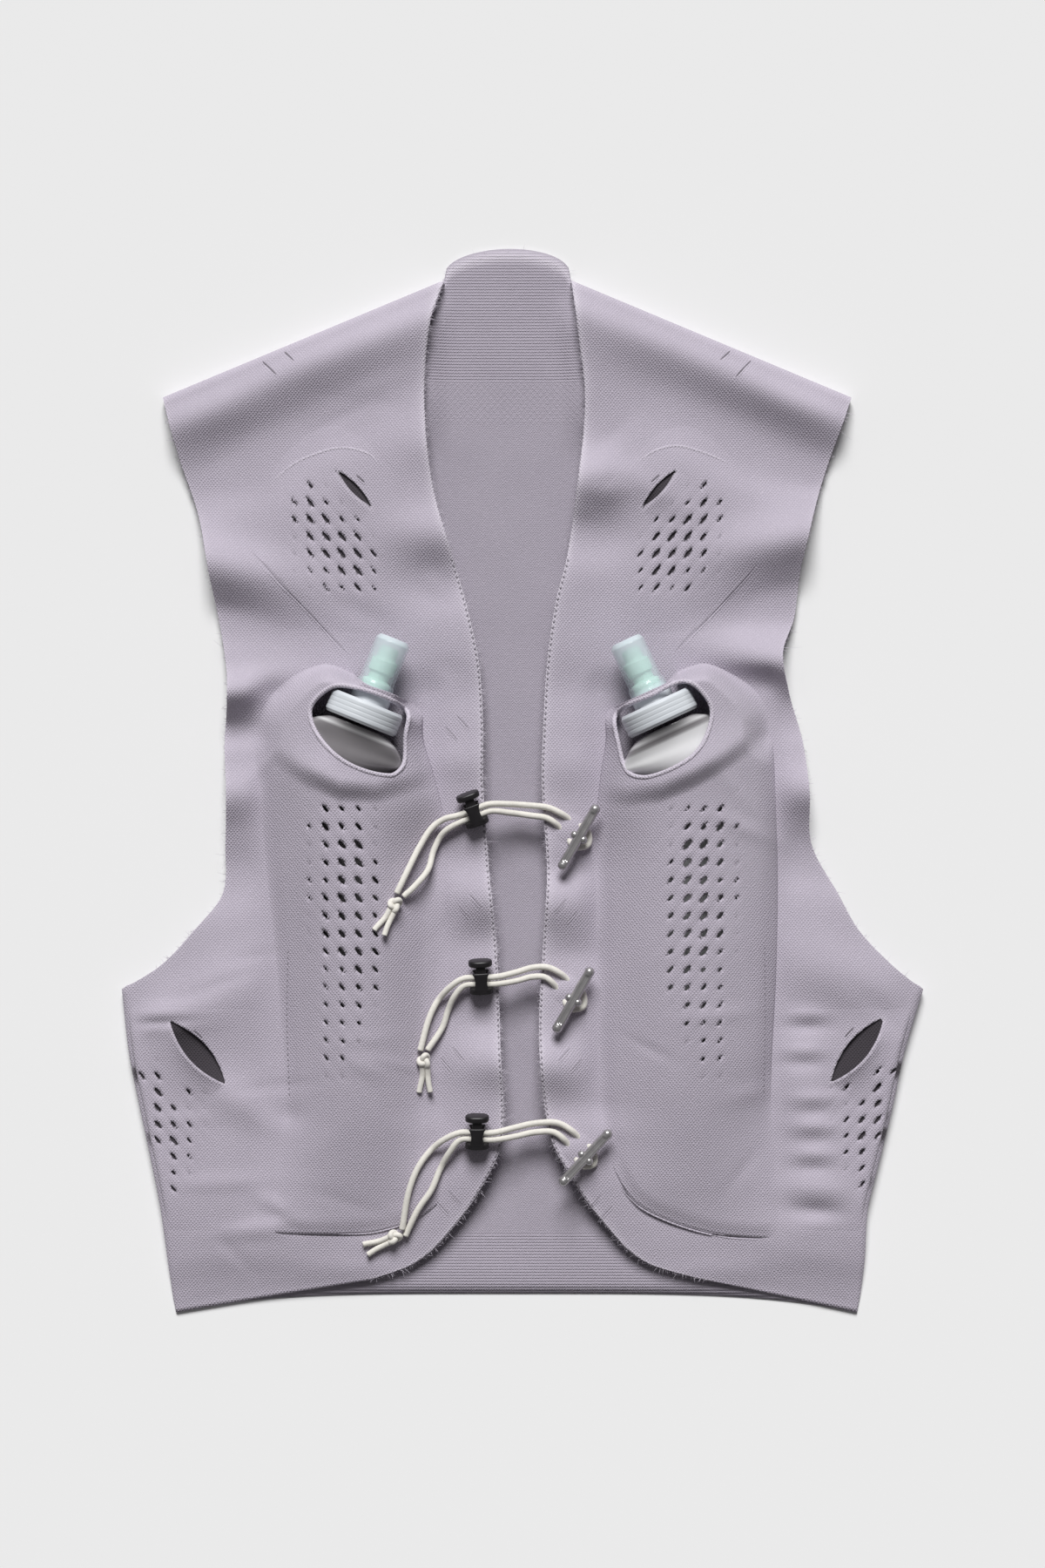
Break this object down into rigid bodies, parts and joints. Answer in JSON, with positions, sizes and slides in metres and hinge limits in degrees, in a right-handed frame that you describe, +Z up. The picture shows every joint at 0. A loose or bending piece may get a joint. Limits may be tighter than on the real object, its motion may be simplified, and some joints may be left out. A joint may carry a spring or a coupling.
{
  "type": "running vest",
  "caption": "Knitted running vest lying flat, front closed by doubled cords with cord locks and bar toggles, with a soft drinking flask in each front pocket.",
  "frame": {"origin": "Middle of the vest's outline on the surface that it lies on.", "axes": "+Z up out of the vest's front, +Y towards the neck, +X towards the wearer's left."},
  "size_m": [0.5078, 0.6704, 0.0588],
  "materials": {
    "knit": "matt mauve-grey stretch knit with raw cut edges",
    "pocket_knit": "matt mauve-grey pocket knit with eyelets",
    "flask_film": "smoky soft film",
    "flask_cap": "translucent grey-white moulded plastic with fine ribs",
    "valve": "mint green silicone",
    "valve_sleeve": "clear pale blue moulded plastic",
    "toggle": "polished cast metal",
    "cord_lock": "black moulded plastic",
    "cord": "off-white braided elastic cord"
  },
  "bodies": {
    "vest": {"back_panel": "knit", "front_right": "knit", "front_left": "knit", "chest_pocket_right": "pocket_knit", "chest_pocket_left": "pocket_knit", "hip_pocket_right": "pocket_knit", "hip_pocket_left": "pocket_knit", "flask_pocket_right": "pocket_knit", "flask_pocket_left": "pocket_knit", "flask_body_right": "flask_film", "flask_body_left": "flask_film", "flask_cap_right": "flask_cap", "flask_cap_left": "flask_cap", "valve_core_right": "valve", "valve_core_left": "valve", "valve_sleeve_right": "valve_sleeve", "valve_sleeve_left": "valve_sleeve", "toggle_1": "toggle", "toggle_2": "toggle", "toggle_3": "toggle", "lock_barrel_1": "cord_lock", "lock_barrel_2": "cord_lock", "lock_barrel_3": "cord_lock", "closure_cord_1": "cord", "closure_cord_2": "cord", "closure_cord_3": "cord", "cord_knot_1": "cord", "cord_knot_2": "cord", "cord_knot_3": "cord", "cord_bridge_1": "knit", "cord_bridge_2": "knit", "cord_bridge_3": "knit"},
    "button_1": {"lock_button_1": "cord_lock"},
    "button_2": {"lock_button_2": "cord_lock"},
    "button_3": {"lock_button_3": "cord_lock"}
  },
  "joints": [
    {"name": "press_1", "type": "slide", "parent": "vest", "child": "button_1", "axis": [0.3345, -0.9192, -0.2079], "range_m": [0, 0.0035], "stiffness_N_per_m": 400},
    {"name": "press_2", "type": "slide", "parent": "vest", "child": "button_2", "axis": [0.0512, -0.9768, -0.2079], "range_m": [0, 0.0035], "stiffness_N_per_m": 400},
    {"name": "press_3", "type": "slide", "parent": "vest", "child": "button_3", "axis": [0, -0.9781, -0.2079], "range_m": [0, 0.0035], "stiffness_N_per_m": 400}
  ]
}
